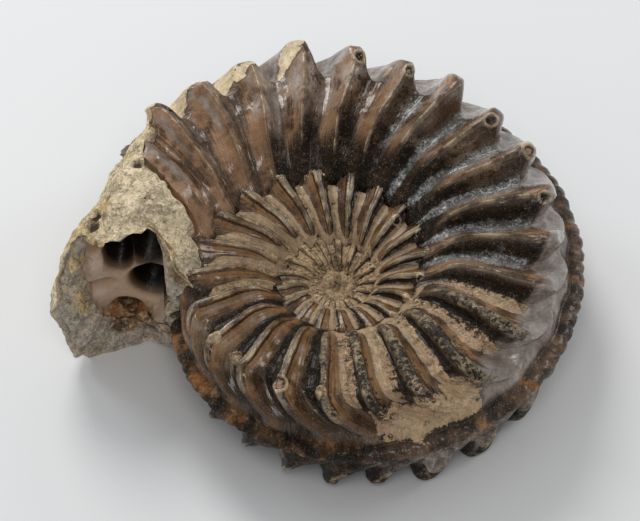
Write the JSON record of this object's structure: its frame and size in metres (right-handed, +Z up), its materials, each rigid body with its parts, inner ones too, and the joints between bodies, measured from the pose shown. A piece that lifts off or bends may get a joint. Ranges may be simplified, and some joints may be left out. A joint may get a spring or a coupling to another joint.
{
  "type": "ammonite fossil",
  "caption": "Coiled ammonite fossil with a keel, curved spiny ribs and a broken open end, lying on its flank",
  "frame": {"origin": "centre of the bounding box's base, on the surface it lies on", "axes": "+Z up, close to the coiling axis; +X along the coil's longest width, away from the broken end; the shell grows counter-clockwise seen from +Z"},
  "size_m": [0.0596, 0.0542, 0.0214],
  "materials": {
    "fossil_stone": "polished brown shell turned to stone, with matt beige sediment"
  },
  "bodies": {
    "root": {"ammonite": "fossil_stone"}
  },
  "joints": []
}
